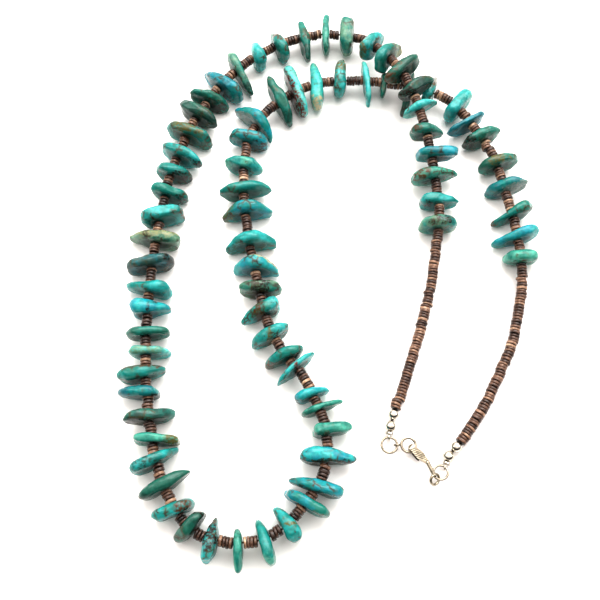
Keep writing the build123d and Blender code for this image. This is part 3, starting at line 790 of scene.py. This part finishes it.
def make_stones(material):
    right = string_order(loose_parts("nuggets_right_side"), centre_of("nugget_01"))[::-1]
    left = string_order(loose_parts("nuggets_left_side"), centre_of("nugget_40"))
    first = 1
    make_stone_piece("turquoise_right_side", "nuggets_right_side", right, RIGHT_STONES, first, material)
    first += len(RIGHT_STONES)
    for index, row in enumerate(FRONT_STONES):
        node = f"nugget_{index + 1:02d}"
        name = f"turquoise_{index + 1:02d}"
        make_stone_piece(name, node, loose_parts(node), [row], first + index, material)
    first += len(FRONT_STONES)
    make_stone_piece("turquoise_left_side", "nuggets_left_side", left, LEFT_STONES, first, material)


# Stacks of discs on the thread
def thread_tree():
    """The points of the thread's mesh, sorted so that those near a place are quickly found."""
    points = [Vector(point) for point in loose_parts("thread")[0][0]]
    tree = kdtree.KDTree(len(points))
    for index, point in enumerate(points):
        tree.insert(point, index)
    tree.balance()
    return tree


def thread_direction(tree, here):
    """The way that the thread runs at a place, from the points of its mesh about there."""
    about = np.array([found[0] for found in tree.find_range(here, THREAD_SAMPLE)])
    values, vectors = np.linalg.eigh(np.cov((about - about.mean(axis=0)).T))
    return vectors[:, np.argmax(values)]


def stack_frame(part, tree):
    """Middle, axis, half length and radius of a stack of discs.

    Its faces lie square to the axis or along it, so the axis is the one of the three main directions of
    their normals that is nearest to the thread's.
    """
    points, faces = part
    centre = np.array(middle(points))
    spread = np.zeros((3, 3))
    for face in faces:
        corners = points[face]
        for second, third in zip(corners[1:], corners[2:]):
            area = np.cross(second - corners[0], third - corners[0])
            size = np.linalg.norm(area)
            if size > 0:
                spread += np.outer(area, area) / size
    vectors = np.linalg.eigh(spread)[1]
    along = thread_direction(tree, Vector(centre))
    axis = max(vectors.T, key=lambda vector: abs(vector @ along))
    axis = axis / np.linalg.norm(axis)
    reach = (points - centre) @ axis
    centre = centre + axis * (reach.min() + reach.max()) / 2
    flat = (points - centre) - np.outer((points - centre) @ axis, axis)
    radius = np.linalg.norm(flat, axis=1).max()
    return Vector(centre), Vector(axis), (reach.max() - reach.min()) / 2, radius


def disc(radius, thickness, chance):
    """One drilled disc about Z with eased rims and an uneven edge, and how far each point is on the rim,
    which sets painted shade in the grooves and painted light on the rim band.
    """
    half = thickness / 2
    ease = min(DISC_EASE, thickness / 3)
    knee = DISC_KNEE * ease
    # Each profile point: distance, height, and its mark of painted light, 0 in the groove and 1 on the rim
    # band
    profile = [
        (DISC_BORE, -half, 0.0),
        (radius - ease, -half, 0.0),
        (radius - knee, -half + knee, DISC_KNEE_RIM),
        (radius, -half + ease, 1.0),
        (radius, half - ease, 1.0),
        (radius - knee, half - knee, DISC_KNEE_RIM),
        (radius - ease, half, 0.0),
        (DISC_BORE, half, 0.0),
    ]
    waves = [(chance.uniform(0, math.tau), turns) for turns in DISC_WAVES]
    points = []
    for step in range(DISC_SEGMENTS):
        angle = math.tau * step / DISC_SEGMENTS
        chip = 1 + DISC_CHIP * sum(math.sin(turns * angle + phase) for phase, turns in waves) / 2
        for distance, height, _ in profile:
            outward = distance * (chip if distance > DISC_BORE else 1)
            points.append((outward * math.cos(angle), outward * math.sin(angle), height))
    rows = len(profile)
    faces = []
    for step in range(DISC_SEGMENTS):
        after = (step + 1) % DISC_SEGMENTS
        for row in range(rows):
            following = (row + 1) % rows
            faces.append((
                step * rows + row,
                after * rows + row,
                after * rows + following,
                step * rows + following,
            ))
    painted_light_marks = [rim for _, _, rim in profile] * DISC_SEGMENTS
    return np.array(points), faces, painted_light_marks


def add_stack(joined, stack, tone_middle, chance):
    """A row of discs along a stack, each with its own thickness, size, lean, slip and tone."""
    centre, axis, half, radius = stack
    half += STACK_REACH
    count = max(1, round(2 * half / DISC_THICKNESS))
    shares = [chance.uniform(*DISC_SHARES) for _ in range(count)]
    unit = 2 * half / sum(shares)
    turn = axis.to_track_quat("Z", "Y").to_matrix().to_4x4()
    low = -half
    aside = Vector((0, 0, 0))
    for share in shares:
        thickness = share * unit
        size = radius * (1 - chance.uniform(0, DISC_LOSS))
        points, faces, painted_light_marks = disc(size, thickness - DISC_SPACE, chance)
        lean_x = Matrix.Rotation(chance.gauss(0, DISC_TILT), 4, "X")
        lean_y = Matrix.Rotation(chance.gauss(0, DISC_TILT), 4, "Y")
        tilt = lean_x @ lean_y
        if chance.random() < SLIP_CHANCE:
            aside = Vector((chance.gauss(0, DISC_OFFSET), chance.gauss(0, DISC_OFFSET), 0))
        slip = aside + Vector((0, 0, low + thickness / 2))
        place = Matrix.Translation(centre) @ turn @ Matrix.Translation(slip) @ tilt
        points = np.array([place @ Vector(point) for point in points])
        points[:, 2] = np.maximum(points[:, 2], 0.0)
        pale = chance.random() < PALE_CHANCE
        tone = chance.uniform(*PALE_TONES) if pale else chance.gauss(tone_middle, TONE_SPREAD)
        marks = np.zeros((len(points), 4))
        marks[:, 0] = np.clip(tone, *TONE_LIMITS)
        marks[:, 1] = chance.uniform(0, DISC_PATTERNS)
        # Alpha: painted shade in the grooves, painted light on the rim band
        marks[:, 3] = painted_light_marks
        joined.add(points, faces, disc_marks=marks)
        low += thickness


def make_discs(material):
    tree = thread_tree()
    chance = random.Random(SEED)
    for node in sorted(TONE_MIDDLE):
        joined = Joined("disc_marks")
        for part in loose_parts(node):
            add_stack(joined, stack_frame(part, tree), TONE_MIDDLE[node], chance)
        stands_for(joined.made(node.replace("heishi", "shell_discs"), material), node)


# The solids that stay
def dress(node, material):
    node.data.materials.clear()
    node.data.materials.append(material)


def dress_solids():
    """Materials for the silver and the thread, which keep their own meshes."""
    finishes = {name: silver(name, finish) for name, finish in SILVER.items()}
    for name, node in NODES.items():
        for start, finish in SILVER_OF_NODES.items():
            if name.startswith(start):
                dress(node, finishes[finish])
    dress(NODES["thread"], beading_thread())


# Camera, floor and light
def make_camera():
    camera = placed("camera", bpy.data.cameras.new("camera"))
    camera.data.lens = LENS
    camera.data.sensor_width = SENSOR
    camera.data.clip_start = CAMERA_NEAREST
    back = Vector((0, -math.cos(CAMERA_ELEVATION), math.sin(CAMERA_ELEVATION)))
    camera.location = AIM + back * CAMERA_DISTANCE
    camera.rotation_euler = (-back).to_track_quat("-Z", "Y").to_euler()
    bpy.context.scene.camera = camera


def make_floor():
    mesh = bpy.data.meshes.new("floor")
    corners = [(x * FLOOR_HALF, y * FLOOR_HALF, 0) for x, y in ((-1, -1), (1, -1), (1, 1), (-1, 1))]
    mesh.from_pydata(corners, [], [(0, 1, 2, 3)])
    mesh.materials.append(floor_white())
    placed("floor", mesh)


def make_softbox(box):
    light = bpy.data.lights.new(box.name, "AREA")
    light.shape = "RECTANGLE"
    light.size = box.width
    light.size_y = box.depth
    light.energy = box.power
    obj = placed(box.name, light)
    obj.location = box.place
    obj.rotation_euler = (AIM - Vector(box.place)).to_track_quat("-Z", "Y").to_euler()


def make_light():
    for box in SOFTBOXES:
        make_softbox(box)
    view = bpy.context.scene.view_settings
    view.view_transform = "Standard"
    view.exposure = EXPOSURE
    view.gamma = GAMMA


def make_world():
    """A warm white room, pale all round at the horizon and darkest above the viewer's side."""
    world = bpy.data.worlds.new("studio")
    bpy.context.scene.world = world
    world.use_nodes = True
    nodes = Nodes(world.node_tree)
    background = world.node_tree.nodes["Background"]
    way = nodes.add("ShaderNodeTexCoord").outputs["Generated"]
    facing = nodes.add("ShaderNodeVectorMath", {0: way, 1: BRIGHT_SIDE}, operation="DOT_PRODUCT")
    height = nodes.add("ShaderNodeSeparateXYZ", {0: way})
    bright_side = nodes.range(facing.outputs["Value"], *BRIGHT_SIDE_STRENGTH)
    horizon = nodes.range(height.outputs["Z"], *HORIZON_STRENGTH)
    nodes.feed(background.inputs["Color"], ROOM_TINT)
    nodes.feed(background.inputs["Strength"], nodes.math("MAXIMUM", bright_side, horizon))


make_camera()
make_floor()
make_light()
make_world()
make_stones(turquoise())
make_discs(shell())
dress_solids()
